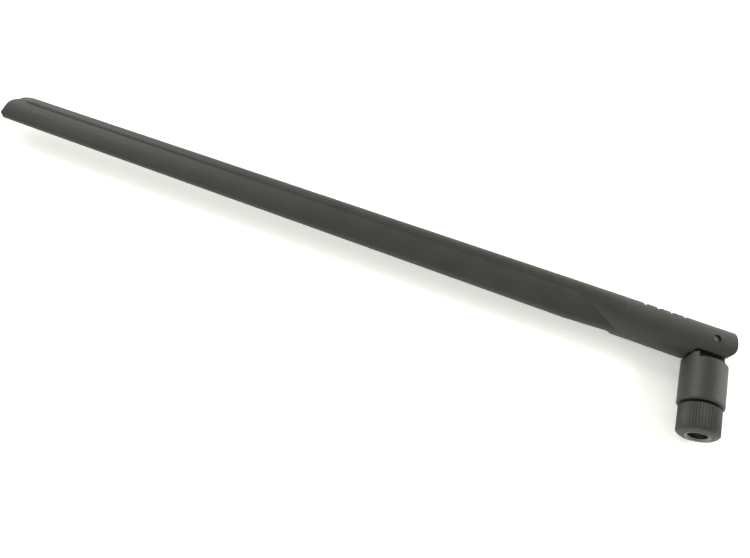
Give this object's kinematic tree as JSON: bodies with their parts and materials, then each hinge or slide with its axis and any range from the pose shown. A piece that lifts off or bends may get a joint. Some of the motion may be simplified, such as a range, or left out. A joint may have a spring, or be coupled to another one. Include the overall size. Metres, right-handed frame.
{
  "type": "wifi antenna",
  "caption": "Folding whip antenna with a long flat blade, a friction hinge, a swivel barrel and a knurled coaxial screw plug.",
  "frame": {"origin": "centre of the coupling nut's mouth, where the jack enters", "axes": "+Y up the connector towards the hinge, -X along the folded blade from hinge to tip, +Z along the hinge pins"},
  "size_m": [0.2314, 0.0363, 0.0134],
  "materials": {
    "nickel_plate": "turned brass, bright nickel plate",
    "black_collar": "satin black moulding",
    "white_insulator": "machined fluoropolymer, waxy",
    "gold_plate": "gold plate",
    "brown_gasket": "smooth rubber",
    "spring_steel": "spring steel",
    "black_nylon": "natural black nylon",
    "black_housing": "fine spark-eroded texture",
    "black_blade": "fine spark-eroded texture",
    "pin_steel": "drawn steel",
    "cable_jacket": "extruded jacket",
    "green_board": "glass laminate with solder mask",
    "copper": "etched copper foil",
    "solder": "bright tin solder",
    "grey_foam": "closed-cell foam"
  },
  "bodies": {
    "connector": {"connector_core": "nickel_plate", "insulator": "white_insulator", "centre_contact": "gold_plate", "gasket": "brown_gasket", "retaining_ring": "spring_steel", "swivel_washer": "black_nylon", "swivel_clip": "spring_steel", "crimp_ferrule": "nickel_plate"},
    "coupling": {"coupling_nut": "nickel_plate", "knurled_collar": "black_collar"},
    "housing": {"swivel_housing": "black_housing"},
    "blade": {"blade_shell": "black_blade", "upper_hinge_pin": "pin_steel", "lower_hinge_pin": "pin_steel", "coax_cable": "cable_jacket", "radiator_board": "green_board", "front_copper": "copper", "back_copper": "copper", "ground_pad": "copper", "feed_solder": "solder", "braid_solder": "solder", "foam_block_root": "grey_foam", "foam_block_middle": "grey_foam", "foam_block_tip": "grey_foam"}
  },
  "joints": [
    {"name": "nut_spin", "type": "hinge", "parent": "connector", "child": "coupling", "pos_m": [0, 0, 0], "axis": [0, 1, 0], "continuous": true},
    {"name": "swivel", "type": "hinge", "parent": "connector", "child": "housing", "pos_m": [0, 0, 0], "axis": [0, 1, 0], "range_deg": [-180, 180]},
    {"name": "tilt", "type": "hinge", "parent": "housing", "child": "blade", "pos_m": [0, 0.02985, 0], "axis": [0, 0, -1], "range_deg": [0, 90], "deforming": ["coax_cable"]}
  ]
}
